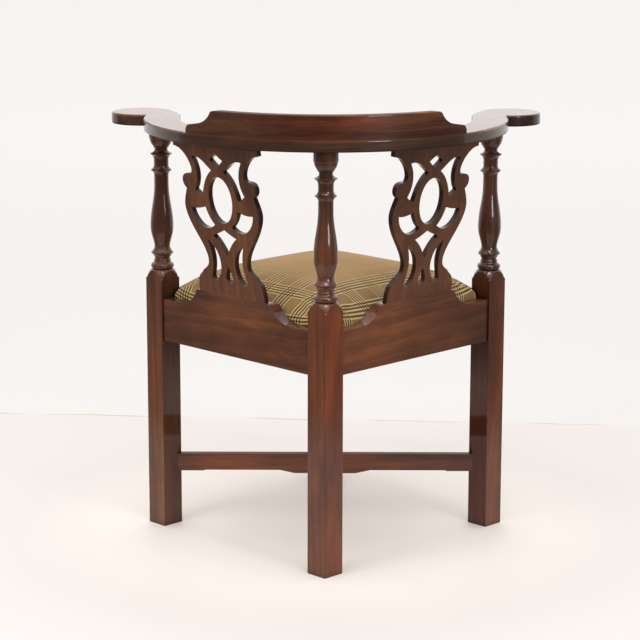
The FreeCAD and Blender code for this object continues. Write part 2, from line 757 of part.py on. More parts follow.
def seat_frame_rail(upper_lap):
    """The frame rail on the +X side, halved at its ends."""
    inside = frame_half - frame_width
    middle = (frame_bottom + frame_top) / 2
    rail = box(inside, frame_half, -frame_half, frame_half, frame_bottom, frame_top)
    low, high = (frame_bottom, middle) if upper_lap else (middle, frame_top)
    return rail.cut([box(inside, frame_half, inside, frame_half, low, high),
                     box(inside, frame_half, -frame_half, -inside, low, high)])


# The crown of the seat: share of its height, then inset from the edge and corner radius in squares
CROWN = (
    (0.00, 0.0, 12.0),
    (0.10, 1.4, 28.0),
    (0.22, 6.0, 42.0),
    (0.37, 13.5, 50.0),
    (0.52, 29.0, 55.0),
    (0.68, 54.0, 65.0),
    (0.82, 88.0, 76.0),
    (0.93, 126.0, 72.0),
    (1.00, 176.0, 24.0))


def seat_form(skin):
    """The padded form over the frame, drawn in by the thickness of a skin."""
    wires = []
    for share, inset, radius in CROWN:
        z = frame_top + share * (crown_height - skin)
        wires.append(rounded_square(cover_half - skin - out(inset), out(radius), z))
    return Part.makeLoft(wires, True, False)


def seat_cover():
    """Cloth round the frame and over the crown, turned in and open underneath."""
    outer = rounded_block(cover_half, cover_bottom, frame_top).fuse(seat_form(0))
    outer = clean(outer).cut(corner_cuts(post_clearance))
    inner = rounded_block(frame_half, frame_bottom, frame_top).fuse(seat_form(cover_thickness))
    inner = clean(inner).cut(corner_cuts(post_clearance + cover_thickness))
    opening = frame_half - cover_turn_under
    hole = box(-opening, opening, -opening, opening, ledge_height, frame_bottom + cover_thickness)
    return outer.cut([inner, hole])


def stuffing():
    """Hair pad on the hessian, up to the inside of the cover."""
    bottom = frame_top + 2 * web_thickness + hessian_thickness + 2 * layer_gap
    below = box(-seat_square, seat_square, -seat_square, seat_square, 0, bottom)
    return seat_form(cover_thickness + layer_gap).cut(
        [below] + corner_cuts(post_clearance + cover_thickness + layer_gap))


def hessian():
    low = frame_top + 2 * web_thickness + layer_gap
    cloth = rounded_block(frame_half - hessian_inset, low, low + hessian_thickness)
    return cloth.cut(corner_cuts(post_clearance + cover_thickness + hessian_inset))


def web_centre(index):
    return (index - (web_count - 1) / 2) * web_pitch


def across(shape):
    """The same shape with X and Y exchanged."""
    return shape.mirror(V(0, 0, 0), V(1, -1, 0))


def web_strap(index, crossing_is_over):
    """One strap along Y, rising over every second strap that it crosses."""
    end = frame_half - web_end_inset
    reach = web_width / 2 + web_thickness
    line = [(-end, 0)]
    for other in range(web_count):
        if (index + other) % 2 == crossing_is_over:
            at = web_centre(other)
            line += [(at - reach - web_ramp, 0), (at - reach, web_thickness),
                     (at + reach, web_thickness), (at + reach + web_ramp, 0)]
    line.append((end, 0))
    upper = [(y, z + web_thickness) for y, z in reversed(line)]
    side = face([("line", line + upper + line[:1])], on_yz)
    side.translate(V(web_centre(index) - web_width / 2, 0, frame_top))
    return side.extrude(V(web_width, 0, 0))


def tack():
    """A tack with its point down and the underside of its head on the XY plane."""
    shank = Part.makeCone(tack_shank_radius / 4, tack_shank_radius, tack_length, V(0, 0, -tack_length))
    head = Part.makeCylinder(tack_head_radius, tack_head_height)
    return clean(shank.fuse(head))


def web_tack_places():
    """Three tacks at each end of each strap along Y."""
    places = []
    end = frame_half - web_end_inset - web_tack_inset
    for index in range(web_count):
        for aside in (-web_width / 3, 0, web_width / 3):
            for y in (-end, end):
                places.append(V(web_centre(index) + aside, y, frame_top + web_thickness))
    return places


def cover_tack_places():
    """A row of tacks along the +X side, under the turned-in edge of the cover."""
    step = 2 * cover_tack_span / (cover_tacks_per_side - 1)
    return [V(frame_half - cover_tack_inset, -cover_tack_span + step * number, cover_bottom)
            for number in range(cover_tacks_per_side)]


def all_web_tacks():
    along_y = [put(tack(), FreeCAD.Placement(spot, FreeCAD.Rotation())) for spot in web_tack_places()]
    return along_y + [across(one) for one in along_y]


def all_cover_tacks():
    upside_down = FreeCAD.Rotation(V(1, 0, 0), 180)
    row = [put(tack(), FreeCAD.Placement(spot, upside_down)) for spot in cover_tack_places()]
    return [turned(one, quarter * 90) for quarter in range(4) for one in row]


# Build and save

SIDES = {"back_left": 0, "back_right": 90, "front_right": 180, "front_left": 270}
CORNERS = {"back": 0, "right": 90, "front": 180, "left": 270}


def build_frame():
    """Everything but the lift-out seat, as a name and a shape for each piece."""
    back_rail = seat_rail(True).cut(splat_tongues(joint_gap))
    front_rail = seat_rail(False)
    screw_holes = [put(screw_blank(block_screw_length), place) for place in block_screw_places()]
    around = [turned(hole, quarter * 90) for hole in screw_holes for quarter in range(4)]
    pieces = {}
    for side, turn in SIDES.items():
        rail = back_rail if side.startswith("back") else front_rail
        pieces[side + "_seat_rail"] = turned(turned(rail, turn).cut(around), CORNER_TURN)
    rail_sockets = [turned(tenon, turn + CORNER_TURN)
                    for tenon in rail_tenons(joint_gap) for turn in SIDES.values()]
    cross_sockets = [turned(tenon, turn) for tenon in stretcher_tenons(joint_gap) for turn in (0, 90)]
    sockets = rail_sockets + cross_sockets

    legs = {"back_post": (0, post_radius, post(arm_thickness)),
            "left_post": (post_radius, 0, post(side_tenon_height)),
            "right_post": (-post_radius, 0, post(side_tenon_height)),
            "front_leg": (0, -post_radius, front_leg())}
    for name, (x, y, leg) in legs.items():
        pieces[name] = moved(turned(leg, CORNER_TURN), x, y).cut(sockets)

    middle = (stretcher_centre_bottom + stretcher_top) / 2
    pieces["side_stretcher"] = stretcher(middle, stretcher_top + stretcher_width)
    pieces["front_to_back_stretcher"] = turned(stretcher(0, middle), 90)

    tongue_sockets = [turned(tongue, turn + CORNER_TURN)
                      for tongue in splat_tongues(joint_gap) for turn in (0, 90)]
    pieces["left_splat"] = turned(splat(), CORNER_TURN)
    pieces["right_splat"] = turned(splat(), CORNER_TURN + 90)

    lap_middle = arm_underside + arm_thickness / 2
    arm_sockets = tongue_sockets + [moved(post_socket(arm_thickness), 0, post_radius),
                                    moved(post_socket(side_tenon_height), post_radius, 0),
                                    moved(post_socket(side_tenon_height), -post_radius, 0)]
    crest_screws = [put(screw(crest_screw_length), place) for place in crest_screw_places()]
    crest_holes = [put(screw_blank(crest_screw_length), place) for place in crest_screw_places()]
    crest_holes += [put(Part.makeCylinder(screw_head_radius, 2 * crest_screw_sink, V(0, 0, -2 * crest_screw_sink)),
                        place) for place in crest_screw_places()]
    pieces["left_arm"] = arm_with_lap(lap_middle, 2 * arm_top).cut(arm_sockets + crest_holes)
    pieces["right_arm"] = mirrored_x(arm_with_lap(0, lap_middle)).cut(arm_sockets + crest_holes)
    pieces["crest_rail"] = crest().cut(crest_holes)
    pieces["crest_screws"] = Part.makeCompound(crest_screws)

    block_screws = [put(screw(block_screw_length), place) for place in block_screw_places()]
    for corner, turn in CORNERS.items():
        pieces[corner + "_corner_block"] = turned(corner_block(), turn + CORNER_TURN)
    pieces["block_screws"] = Part.makeCompound(
        [turned(one, turn + CORNER_TURN) for one in block_screws for turn in CORNERS.values()])
    return pieces


def build_seat():
    """The lift-out seat, drawn square and then turned."""
    web_tacks = all_web_tacks()
    cover_tacks = all_cover_tacks()
    frame_block = rounded_block(frame_half, frame_bottom, frame_top)
    frame_block = frame_block.cut(corner_cuts(post_clearance + cover_thickness))
    pieces = {}
    for side, turn in SIDES.items():
        rail = turned(seat_frame_rail(side in ("back_right", "front_left")), turn)
        pieces["seat_frame_" + side] = rail.common(frame_block).cut(web_tacks + cover_tacks)
    pieces["webbing_under"] = Part.makeCompound(
        [web_strap(index, 0).cut(web_tacks) for index in range(web_count)])
    pieces["webbing_across"] = Part.makeCompound(
        [across(web_strap(index, 1)).cut(web_tacks) for index in range(web_count)])
    pieces["webbing_tacks"] = Part.makeCompound(web_tacks)
    pieces["hessian"] = hessian()
    pieces["stuffing"] = stuffing()
    pieces["seat_cover"] = seat_cover().cut(cover_tacks)
    pieces["cover_tacks"] = Part.makeCompound(cover_tacks)
    return {name: turned(shape, CORNER_TURN) for name, shape in pieces.items()}


for node, solid in {**build_frame(), **build_seat()}.items():
    save(node, solid)
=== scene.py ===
import bmesh
import bpy
import math
from mathutils import Matrix, Vector


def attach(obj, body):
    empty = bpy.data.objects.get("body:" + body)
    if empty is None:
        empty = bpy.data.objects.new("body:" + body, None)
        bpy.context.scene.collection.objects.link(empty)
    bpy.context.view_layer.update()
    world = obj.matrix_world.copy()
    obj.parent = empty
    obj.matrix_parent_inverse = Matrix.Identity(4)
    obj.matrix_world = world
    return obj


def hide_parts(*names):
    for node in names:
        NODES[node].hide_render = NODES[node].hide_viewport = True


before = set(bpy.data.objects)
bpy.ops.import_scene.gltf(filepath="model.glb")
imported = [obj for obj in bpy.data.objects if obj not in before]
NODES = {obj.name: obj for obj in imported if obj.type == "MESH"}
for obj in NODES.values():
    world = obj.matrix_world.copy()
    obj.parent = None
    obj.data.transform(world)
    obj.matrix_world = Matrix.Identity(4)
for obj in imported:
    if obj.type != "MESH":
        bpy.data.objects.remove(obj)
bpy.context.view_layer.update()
scene = bpy.context.scene


# Camera: where the photograph was taken from, at the back of the chair

CAMERA_PLACE = Vector((0.00185, 4.02660, 1.26933))
CAMERA_RIGHT = Vector((-0.99999458, -0.00253825, 0.0020963))
CAMERA_UP = Vector((0.00258714, -0.2121792, 0.97722735))
CAMERA_AHEAD = Vector((0.00203566, -0.97722748, -0.21218462))
FOCAL_LENGTH = 2194.73       # in pixels of the photograph
PHOTO_WIDTH = 640
SENSOR_WIDTH = 36.0


def make_camera():
    data = bpy.data.cameras.new("camera")
    data.sensor_width = SENSOR_WIDTH
    data.lens = FOCAL_LENGTH / PHOTO_WIDTH * SENSOR_WIDTH
    camera = bpy.data.objects.new("camera", data)
    turn = Matrix((CAMERA_RIGHT, CAMERA_UP, -CAMERA_AHEAD)).transposed().to_4x4()
    camera.matrix_world = Matrix.Translation(CAMERA_PLACE) @ turn
    scene.collection.objects.link(camera)
    scene.camera = camera


make_camera()


# Node helpers: a value is a number, a colour or vector, or the socket of another node

def new_material(name):
    material = bpy.data.materials.new(name)
    material.use_nodes = True
    tree = material.node_tree
    shader = next(n for n in tree.nodes if n.type == "BSDF_PRINCIPLED")
    return material, tree, shader


def fill(tree, made, values):
    """Sets or links the inputs of a node."""
    for key, value in values.items():
        if isinstance(value, bpy.types.NodeSocket):
            tree.links.new(value, made.inputs[key])
        else:
            made.inputs[key].default_value = value


def node(tree, kind, values, **settings):
    made = tree.nodes.new(kind)
    for key, value in settings.items():
        setattr(made, key, value)
    fill(tree, made, values)
    return made


def blend_value(tree, value, low, high, to_low=0.0, to_high=1.0):
    """A value between low and high, eased over to the range from to_low to to_high."""
    ends = {"Value": value, "From Min": low, "From Max": high, "To Min": to_low, "To Max": to_high}
    return node(tree, "ShaderNodeMapRange", ends, interpolation_type="SMOOTHSTEP").outputs["Result"]


def mix_colour(tree, factor, a, b, kind="MIX"):
    mix = node(tree, "ShaderNodeMix", {0: factor, 6: a, 7: b}, data_type="RGBA", blend_type=kind)
    return mix.outputs[2]


def calc(tree, kind, *values):
    return node(tree, "ShaderNodeMath", dict(enumerate(values)), operation=kind).outputs[0]


def swing(tree, value, pitch, kind="SINE"):
    """A wave that comes back after each pitch."""
    return calc(tree, kind, calc(tree, "MULTIPLY", value, 2 * math.pi / pitch))


def dot_product(tree, a, b):
    made = node(tree, "ShaderNodeVectorMath", {0: a, 1: b}, operation="DOT_PRODUCT")
    return made.outputs["Value"]


def noise(tree, vector, scale=1.0, detail=3.0, roughness=0.5, distortion=0.0):
    made = node(tree, "ShaderNodeTexNoise", {
        "Vector": vector, "Scale": scale, "Detail": detail, "Roughness": roughness,
        "Distortion": distortion})
    return made.outputs[0]


def grey(tree, value):
    return node(tree, "ShaderNodeCombineColor", {0: value, 1: value, 2: value}).outputs[0]


def tinted(tree, colour, tint):
    return mix_colour(tree, 1.0, colour, tint, "MULTIPLY")


def varied(tree, colour, value, low, high, dark, light):
    """A colour made darker or lighter as a value goes from low to high."""
    return tinted(tree, colour, grey(tree, blend_value(tree, value, low, high, dark, light)))


def parts_of(tree, vector, names="XYZ"):
    outputs = node(tree, "ShaderNodeSeparateXYZ", {0: vector}).outputs
    return [outputs[name] for name in names]


def geometry(tree):
    """Position and Normal of a point, in the axes of the scene."""
    return node(tree, "ShaderNodeNewGeometry", {}).outputs


def chair_place(tree):
    """Coordinates of the chair at a point of the piece."""
    return node(tree, "ShaderNodeTexCoord", {}).outputs["Object"]


def stretched(tree, vector, along, across):
    made = node(tree, "ShaderNodeMapping", {"Vector": vector, "Scale": (along, across, across)},
                vector_type="POINT")
    return made.outputs["Vector"]


def relief(tree, height, strength, distance, normal=None):
    """The normal of a surface with a fine relief of this height."""
    values = {"Strength": strength, "Distance": distance, "Height": height}
    if normal is not None:
        values["Normal"] = normal
    return node(tree, "ShaderNodeBump", values).outputs["Normal"]


# Floor and light

FLOOR_REACH = 30.0
FLOOR_EDGE = -0.757          # where the floor meets the backdrop
FLOOR_EDGE_SLOPE = 0.065     # the edge runs a little askew
SEAM_MIDDLE = 0.01           # of the tan seam, past the edge
BACKDROP_FAR = (0.940, 0.925, 0.920, 1)
BACKDROP_NEAR = (0.815, 0.795, 0.780, 1)
BOARDS_PAINTED_LIGHT = (0.990, 0.925, 0.870, 1)
BOARDS = (0.810, 0.758, 0.724, 1)
BOARDS_PAST_LIGHT = (0.17, 0.16, 0.15, 1)
SEAM = (0.62, 0.47, 0.34, 1)
BACKDROP_DEPTH = -6.0
PAINTED_LIGHT_REACH = (0.30, 0.62)   # distances over which the painted light under the chair fades out
LIGHT_ENDS = (0.75, 1.25)
WALL = (1.25, 1.20, 1.17, 1)
ROOM = (0.26, 0.25, 0.245, 1)
CEILING = (1.05, 1.04, 1.03, 1)


def floor_colour(tree):
    """Light boards that end behind the chair, a tan seam there, and a pale backdrop past it.

    Under the chair the boards are paler: painted light that softens its shadow. Beside the chair
    and before it the boards are dark, so that its polish has little to mirror.
    """
    position = geometry(tree)["Position"]
    aside, back = parts_of(tree, position, "XY")
    from_chair = node(tree, "ShaderNodeVectorMath", {0: position}, operation="LENGTH")
    under = blend_value(tree, from_chair.outputs["Value"], *PAINTED_LIGHT_REACH)
    backdrop = mix_colour(tree, blend_value(tree, back, BACKDROP_DEPTH, FLOOR_EDGE),
                          BACKDROP_FAR, BACKDROP_NEAR)
    # Paler boards under the chair: painted light against its shadow.
    boards = mix_colour(tree, under, BOARDS_PAINTED_LIGHT, BOARDS)
    farthest = calc(tree, "MAXIMUM", calc(tree, "ABSOLUTE", aside), back)
    boards = mix_colour(tree, blend_value(tree, farthest, *LIGHT_ENDS), boards, BOARDS_PAST_LIGHT)
    wobble = calc(tree, "MULTIPLY", noise(tree, position, 7.0, 4.0), 0.03)
    edge = calc(tree, "ADD", calc(tree, "ADD", back, wobble),
                calc(tree, "MULTIPLY", aside, FLOOR_EDGE_SLOPE))
    past_edge = blend_value(tree, edge, FLOOR_EDGE, FLOOR_EDGE + 0.03)
    from_seam = calc(tree, "ABSOLUTE", calc(tree, "SUBTRACT", edge, FLOOR_EDGE + SEAM_MIDDLE))
    seam = calc(tree, "MULTIPLY", blend_value(tree, from_seam, 0.001, 0.007, 1.0, 0.0),
                blend_value(tree, noise(tree, position, 5.0, 2.0), 0.42, 0.56, 0.05, 0.8))
    return mix_colour(tree, seam, mix_colour(tree, past_edge, backdrop, boards), SEAM)


def make_floor():
    mesh = bpy.data.meshes.new("floor")
    signs = ((-1, -1), (1, -1), (1, 1), (-1, 1))
    corners = [(x * FLOOR_REACH, y * FLOOR_REACH, 0) for x, y in signs]
    mesh.from_pydata(corners, [], [(0, 1, 2, 3)])
    floor = bpy.data.objects.new("floor", mesh)
    scene.collection.objects.link(floor)
    material, tree, shader = new_material("floor")
    fill(tree, shader, {"Base Color": floor_colour(tree), "Roughness": 0.6})
    floor.data.materials.append(material)


def make_world():
    """A bright wall behind the chair, a dim room before it, and a bright ceiling."""
    world = bpy.data.worlds.new("studio")
    scene.world = world
    world.use_nodes = True
    tree = world.node_tree
    towards = node(tree, "ShaderNodeTexCoord", {}).outputs["Generated"]
    back, height = parts_of(tree, towards, "YZ")
    room = mix_colour(tree, blend_value(tree, back, -0.55, 0.05), WALL, ROOM)
    room = mix_colour(tree, blend_value(tree, height, 0.0, 0.9), room, CEILING)
    fill(tree, tree.nodes["Background"], {"Strength": 1.0, "Color": room})


def make_light(name, place, aim, size, power, diffuse=True, glossy=True):
    data = bpy.data.lights.new(name, "AREA")
    data.shape = "RECTANGLE"
    data.size, data.size_y = size
    data.energy = power
    lamp = bpy.data.objects.new(name, data)
    lamp.location = place
    lamp.rotation_mode = "QUATERNION"
    lamp.rotation_quaternion = (Vector(aim) - Vector(place)).to_track_quat("-Z", "Y")
    lamp.visible_diffuse = diffuse
    lamp.visible_glossy = glossy
    scene.collection.objects.link(lamp)


make_floor()
make_world()
make_light("overhead", (0.3, 1.6, 3.4), (0, 0, 0.4), (4.0, 3.4), 40)
make_light("right side", (-2.3, 2.7, 1.5), (0, 0, 0.6), (0.35, 1.6), 17, glossy=False)
make_light("left side", (2.6, 2.4, 1.7), (0, 0, 0.5), (1.0, 1.5), 22, glossy=False)
make_light("window", (-2.1, 3.3, 1.75), (0, 0.3, 0.65), (0.9, 1.9), 80, diffuse=False)
make_light("skylight", (-0.25, 1.95, 3.4), (0, 0.3, 0.5), (1.3, 0.8), 40, diffuse=False)

scene.view_settings.view_transform = "Standard"


# Wood: dark, middle and light tone of each kind

MAHOGANY = ((0.030, 0.0095, 0.0055), (0.110, 0.0345, 0.0155), (0.240, 0.078, 0.030))
BEECH = ((0.30, 0.19, 0.10), (0.42, 0.28, 0.155), (0.54, 0.38, 0.22))
PINE = ((0.22, 0.125, 0.06), (0.33, 0.20, 0.10), (0.44, 0.29, 0.15))
UPRIGHT = "upright"
ROUND = "round"
ARM_RADIUS = 0.335
SPLAT_LEAN = math.radians(8.4)
COLUMN_FOOT = (0.470, 0.500)  # heights between which a square leg turns into its column
ARM_EDGE = (0.772, 0.7775)   # heights between which the arm's edge turns into its top
HOLLOW_SHADE_REACH = 0.014         # how far the painted shade in hollows and corners reaches
SPECULAR = 0.14              # of polished wood under its coat
COAT = 0.85

# How fine each layer of the wood is, along and across the grain
FIGURE = (2.2, 17)
BANDS = (1.3, 24)
FIBRES = (16, 620)
PORES = (55, 1500)
BLOTCHES = (4.5, 7.5)

# Radius of the eased edges, brightness of the painted shade in the hollows and strength of the
# relief
POLISHED = {"edge": 0.0010, "hollow": 0.20, "relief": 0.25}
SAWN = {"edge": 0.0006, "hollow": 0.50, "relief": 0.5}


def aligned(tree, grain, offset):
    """Coordinates of the piece with X along the grain, in metres."""
    place = chair_place(tree)
    values = {"Location": (offset * 0.37, offset * 0.11, offset * 0.23)}
    if grain == ROUND:
        x, y, z = parts_of(tree, place)
        along = calc(tree, "MULTIPLY", calc(tree, "ARCTAN2", x, y), ARM_RADIUS)
        squares = [calc(tree, "MULTIPLY", part, part) for part in (x, y)]
        radius = calc(tree, "SQRT", calc(tree, "ADD", *squares))
        place = node(tree, "ShaderNodeCombineXYZ", {0: along, 1: radius, 2: z}).outputs[0]
    elif grain == UPRIGHT:
        values["Rotation"] = (0, math.pi / 2, 0)
    else:
        values["Rotation"] = (0, 0, -math.radians(grain))
    values["Vector"] = place
    return node(tree, "ShaderNodeMapping", values, vector_type="POINT").outputs["Vector"]


def eased(tree, radius):
    """The normal of a surface whose edges are softened."""
    return node(tree, "ShaderNodeBevel", {"Radius": radius}, samples=4).outputs["Normal"]


def edge_nearness(tree, eased_normal):
    same = dot_product(tree, eased_normal, geometry(tree)["Normal"])
    return blend_value(tree, same, 0.86, 0.995, 1.0, 0.0)


def in_hollows(tree, colour, dark):
    """Darker in hollows and corners: painted shade, and the old polish and dust settled there."""
    near = node(tree, "ShaderNodeAmbientOcclusion", {"Distance": HOLLOW_SHADE_REACH}, samples=6)
    return varied(tree, colour, near.outputs["AO"], 0.30, 0.92, dark, 1.0)


def crest_tint(tree):
    """The middle of the crest is redder, and its end towards +X is duller."""
    x, = parts_of(tree, chair_place(tree), "X")
    ends = mix_colour(tree, blend_value(tree, x, -0.12, 0.12),
                      (1.02, 1.08, 1.12, 1), (0.64, 0.80, 0.92, 1))
    near = blend_value(tree, calc(tree, "ABSOLUTE", x), 0.02, 0.15, 1.0, 0.0)
    return mix_colour(tree, near, ends, (1.10, 0.86, 0.66, 1))


def post_colour_and_face_shade(left, right):
    """Leg faces to +X and -X differ, an inner face by painted shade; the column has its own tint.
    """
    def shade(tree):
        height, = parts_of(tree, chair_place(tree), "Z")
        turned, = parts_of(tree, geometry(tree)["Normal"], "X")
        leg = mix_colour(tree, blend_value(tree, turned, -0.2, 0.2), (*right, 1), (*left, 1))
        return mix_colour(tree, blend_value(tree, height, *COLUMN_FOOT), leg, (0.92, 0.98, 1.06, 1))
    return shade


def arm_tint(tree):
    """The edge of the arm is darker and greyer than its top."""
    height, = parts_of(tree, chair_place(tree), "Z")
    return mix_colour(tree, blend_value(tree, height, *ARM_EDGE),
                      (0.46, 0.66, 0.88, 1), (1, 1, 1, 1))


def even_tint(*colour):
    def shade(tree):
        return (*colour, 1)
    return shade


def splat_colour_and_edge_shade(turn):
    """The faces of a splat, which stands at this turn, are browner; its sawn edges get painted
    shade.
    """
    outward = (math.cos(SPLAT_LEAN) * math.cos(turn), math.cos(SPLAT_LEAN) * math.sin(turn),
               -math.sin(SPLAT_LEAN))

    def shade(tree):
        flat = calc(tree, "ABSOLUTE", dot_product(tree, geometry(tree)["Normal"], outward))
        # Sawn edges darkened: painted shade. Faces: a browner tint.
        return mix_colour(tree, blend_value(tree, flat, 0.35, 0.85),
                          (0.28, 0.28, 0.28, 1), (1.06, 1.26, 1.26, 1))
    return shade


def polish_between(low, high):
    """Polished from one height to another, and dull above and below."""
    def gloss(tree):
        height, = parts_of(tree, chair_place(tree), "Z")
        rise = blend_value(tree, height, low - 0.001, low + 0.001, 0.1, 1.0)
        fall = blend_value(tree, height, high - 0.0006, high + 0.0002, 1.0, 0.1)
        return calc(tree, "MULTIPLY", rise, fall)
    return gloss


def figured(tree, vector, tones, calm):
    """Wood with figure and growth bands."""
    figure = noise(tree, stretched(tree, vector, *FIGURE), detail=5, roughness=0.62, distortion=0.9)
    ramp = node(tree, "ShaderNodeValToRGB", {0: figure})
    stops = ramp.color_ramp.elements
    stops[0].position, stops[0].color = 0.30, tones[0]
    stops[1].position, stops[1].color = 0.74, tones[2]
    stops.new(0.50).color = tones[1]
    colour = mix_colour(tree, calm, ramp.outputs[0], tones[1])
    wave = node(tree, "ShaderNodeTexWave", {
        "Vector": stretched(tree, vector, *BANDS), "Scale": 1.0, "Distortion": 7.0, "Detail": 3.0,
        "Detail Scale": 0.6}, wave_type="BANDS", bands_direction="DIAGONAL", wave_profile="SAW")
    return varied(tree, colour, wave.outputs["Fac"], 0.1, 0.95,
                  0.80 + 0.12 * calm, 1.12 - 0.05 * calm)


def wood(name, grain, tones, offset, polished, calm=0.0, shade=None, gloss=None):
    """Wood with figure, growth bands, fibres, pores, painted shade in hollows, and worn edges."""
    material, tree, shader = new_material(name)
    surface = POLISHED if polished else SAWN
    tones = [(*tone, 1) for tone in tones]
    vector = aligned(tree, grain, offset)
    colour = figured(tree, vector, tones, calm)
    fibre = noise(tree, stretched(tree, vector, *FIBRES), detail=4, roughness=0.6)
    colour = varied(tree, colour, fibre, 0.3, 0.72, 0.80, 1.15)
    pores = noise(tree, stretched(tree, vector, *PORES), detail=1)
    pores = blend_value(tree, pores, 0.63, 0.70)
    colour = mix_colour(tree, calc(tree, "MULTIPLY", pores, 0.45), colour, tones[0])
    blotch = noise(tree, stretched(tree, vector, *BLOTCHES), detail=3, roughness=0.55)
    patches = mix_colour(tree, blend_value(tree, blotch, 0.34, 0.66),
                         (0.70, 0.68, 0.68, 1), (1.30, 1.20, 1.02, 1))
    colour = tinted(tree, colour, patches)
    if shade:
        colour = tinted(tree, colour, shade(tree))
    eased_normal = eased(tree, surface["edge"])
    worn = calc(tree, "MULTIPLY", edge_nearness(tree, eased_normal),
                blend_value(tree, blotch, 0.35, 0.65, 0.04, 0.24))
    bare = (*[min(1, 1.3 * part) for part in tones[2][:3]], 1)
    # Hollows and corners are darkened here: painted shade.
    colour = in_hollows(tree, mix_colour(tree, worn, colour, bare), surface["hollow"])
    height = calc(tree, "SUBTRACT", fibre, calc(tree, "MULTIPLY", pores, 0.5))
    fill(tree, shader, {
        "Base Color": colour,
        "Normal": relief(tree, height, surface["relief"], 0.0002, eased_normal)})
    if not polished:
        fill(tree, shader, {"Roughness": blend_value(tree, fibre, 0.3, 0.7, 0.62, 0.82),
                            "Specular IOR Level": 0.3})
        return material
    specular, coat = SPECULAR, COAT
    if gloss:
        shine = gloss(tree)
        specular, coat = [calc(tree, "MULTIPLY", shine, full) for full in (SPECULAR, COAT)]
    fill(tree, shader, {
        "Roughness": blend_value(tree, blotch, 0.3, 0.7, 0.28, 0.42),
        "Specular IOR Level": specular,
        "Coat Weight": coat, "Coat IOR": 1.40, "Coat Roughness": 0.07})
    return material


# Cloth and steel

PLAID_REPEAT = 0.066         # from one group of lines to the next
PLAID_WARP = (0.040, 0.0066)  # offset of a group, and from one of its lines to the next
PLAID_WEFT = (0.015, 0.0082)
PLAID_RUBBED = (0.08, 0.18)  # distances from the middle over which the pattern comes back
PLAID_DASH = 0.0034          # the lines are broken at this pitch
PLAID_YARN = 0.0017
PLAID_GROUND = (0.425, 0.258, 0.106, 1)
PLAID_EDGE_GROUND = (0.315, 0.190, 0.078, 1)
PLAID_DARK = (0.052, 0.023, 0.007, 1)
PLAID_LIGHT = (0.80, 0.59, 0.26, 1)
WEB_PITCH = 0.092
WEB_LINE_START = (0.0165, 0.0170)  # from the middle of a strap
WEB_LINE_END = (0.0195, 0.0200)
HERRINGBONE = 0.005
TWILL = 0.0021
HESSIAN_YARN = 0.0042


def plaid_lines(tree, along, across, group_place, crisp):
    """Dark and light lines of the plaid in one direction, in groups and broken into dashes."""
    offset, apart = group_place
    turn = calc(tree, "DIVIDE", calc(tree, "SUBTRACT", along, offset), PLAID_REPEAT)
    turn = calc(tree, "SUBTRACT", calc(tree, "FRACT", calc(tree, "ADD", turn, 0.5)), 0.5)
    from_middle = calc(tree, "MULTIPLY", turn, PLAID_REPEAT)
    group = blend_value(tree, calc(tree, "ABSOLUTE", from_middle), 2.2 * apart, 2.4 * apart,
                        1.0, 0.0)
    line = swing(tree, from_middle, apart, "COSINE")
    broken = blend_value(tree, swing(tree, across, PLAID_DASH), -1.0, 0.6, 0.74, 1.0)
    kinds = []
    for low, high in ((0.26, -0.34), (0.14, 0.52)):
        lines = blend_value(tree, line, low, high)
        for factor in (group, broken, crisp):
            lines = calc(tree, "MULTIPLY", lines, factor)
        kinds.append(lines)
    return kinds


def plaid():
    """Wool plaid: groups of four dark lines edged with yellow, both ways, on a tan ground.

    The pattern is rubbed off towards the middle of the seat.
    """
    material, tree, shader = new_material("plaid")
    place = node(tree, "ShaderNodeUVMap", {}, uv_map="cloth").outputs["UV"]
    warp, weft = parts_of(tree, place, "XY")
    soft = noise(tree, place, 9.0, 3, 0.6)
    rub = calc(tree, "MAXIMUM", calc(tree, "ABSOLUTE", warp), calc(tree, "ABSOLUTE", weft))
    crisp = blend_value(tree, rub, *PLAID_RUBBED, 0.06, 1.0)
    sides = (plaid_lines(tree, warp, weft, PLAID_WARP, crisp),
             plaid_lines(tree, weft, warp, PLAID_WEFT, crisp))
    weave = calc(tree, "MULTIPLY", swing(tree, warp, PLAID_YARN), swing(tree, weft, PLAID_YARN))
    top = blend_value(tree, weave, -0.5, 0.5, 0.72, 1.0)
    under = calc(tree, "SUBTRACT", 1.72, top)
    colour = mix_colour(tree, crisp, PLAID_GROUND, PLAID_EDGE_GROUND)
    for (darks, lights), share in zip(sides, (top, under)):
        colour = mix_colour(tree, calc(tree, "MULTIPLY", lights, share), colour, PLAID_LIGHT)
    for (darks, lights), share in zip(sides, (top, under)):
        colour = mix_colour(tree, calc(tree, "MULTIPLY", darks, share), colour, PLAID_DARK)
    yarn = noise(tree, place, 900.0, 2, 0.6)
    colour = varied(tree, colour, yarn, 0.3, 0.7, 0.82, 1.14)
    colour = varied(tree, colour, soft, 0.3, 0.7, 0.92, 1.06)
    height = calc(tree, "ADD", calc(tree, "ABSOLUTE", weave), calc(tree, "MULTIPLY", yarn, 0.5))
    fill(tree, shader, {
        "Base Color": colour, "Normal": relief(tree, height, 0.5, 0.0003),
        "Roughness": blend_value(tree, yarn, 0.3, 0.7, 0.78, 0.92), "Specular IOR Level": 0.25,
        "Sheen Weight": 0.12, "Sheen Roughness": 0.5, "Sheen Tint": (0.9, 0.82, 0.6, 1)})
    return material


def square_place(tree):
    """Coordinates in the seat square, with X and Y along its sides."""
    turned = node(tree, "ShaderNodeMapping", {
        "Vector": chair_place(tree), "Rotation": (0, 0, -math.pi / 4)}, vector_type="POINT")
    place = turned.outputs["Vector"]
    return (place, *parts_of(tree, place, "XY"))


